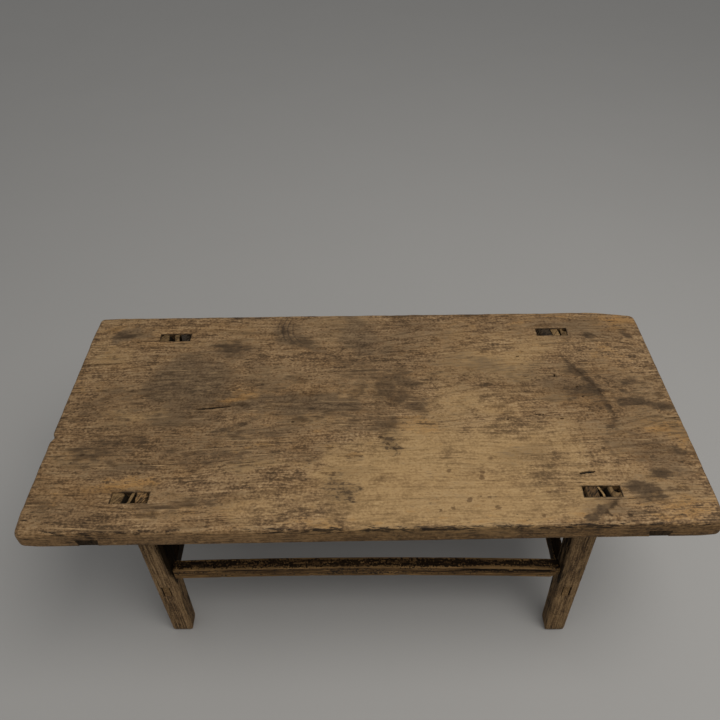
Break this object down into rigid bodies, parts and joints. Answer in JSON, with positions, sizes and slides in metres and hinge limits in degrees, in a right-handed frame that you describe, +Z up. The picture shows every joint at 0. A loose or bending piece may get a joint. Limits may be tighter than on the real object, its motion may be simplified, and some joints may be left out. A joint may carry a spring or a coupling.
{
  "type": "low coffee table",
  "caption": "Low plank-topped coffee table of weathered wood, with wedged through tenons in the top, splayed tapered legs, bowed long stretchers and straight end stretchers.",
  "frame": {"origin": "on the floor, under the middle of the table top", "axes": "+X along the table's length, -Y towards the front seen in the picture, +Z up"},
  "size_m": [1.157, 0.5378, 0.445],
  "materials": {
    "top_elm": "worn, waxed, stained",
    "frame_elm": "worn, waxed",
    "stretcher_elm": "worn, with remains of a dark lacquer",
    "wedge_wood": "bare end grain"
  },
  "bodies": {
    "root": {"cross_batten_left": "frame_elm", "cross_batten_right": "frame_elm", "end_stretcher_left": "stretcher_elm", "end_stretcher_right": "stretcher_elm", "leg_front_left": "frame_elm", "leg_front_right": "frame_elm", "leg_rear_left": "frame_elm", "leg_rear_right": "frame_elm", "leg_wedge_front_left": "wedge_wood", "leg_wedge_front_right": "wedge_wood", "leg_wedge_rear_left": "wedge_wood", "leg_wedge_rear_right": "wedge_wood", "long_stretcher_front": "stretcher_elm", "long_stretcher_rear": "stretcher_elm", "packing_block_front_left": "wedge_wood", "packing_block_front_right": "wedge_wood", "packing_block_rear_left": "wedge_wood", "packing_block_rear_right": "wedge_wood", "stretcher_wedge_front_left": "wedge_wood", "stretcher_wedge_front_right": "wedge_wood", "stretcher_wedge_rear_left": "wedge_wood", "stretcher_wedge_rear_right": "wedge_wood", "table_top": "top_elm"}
  },
  "joints": []
}
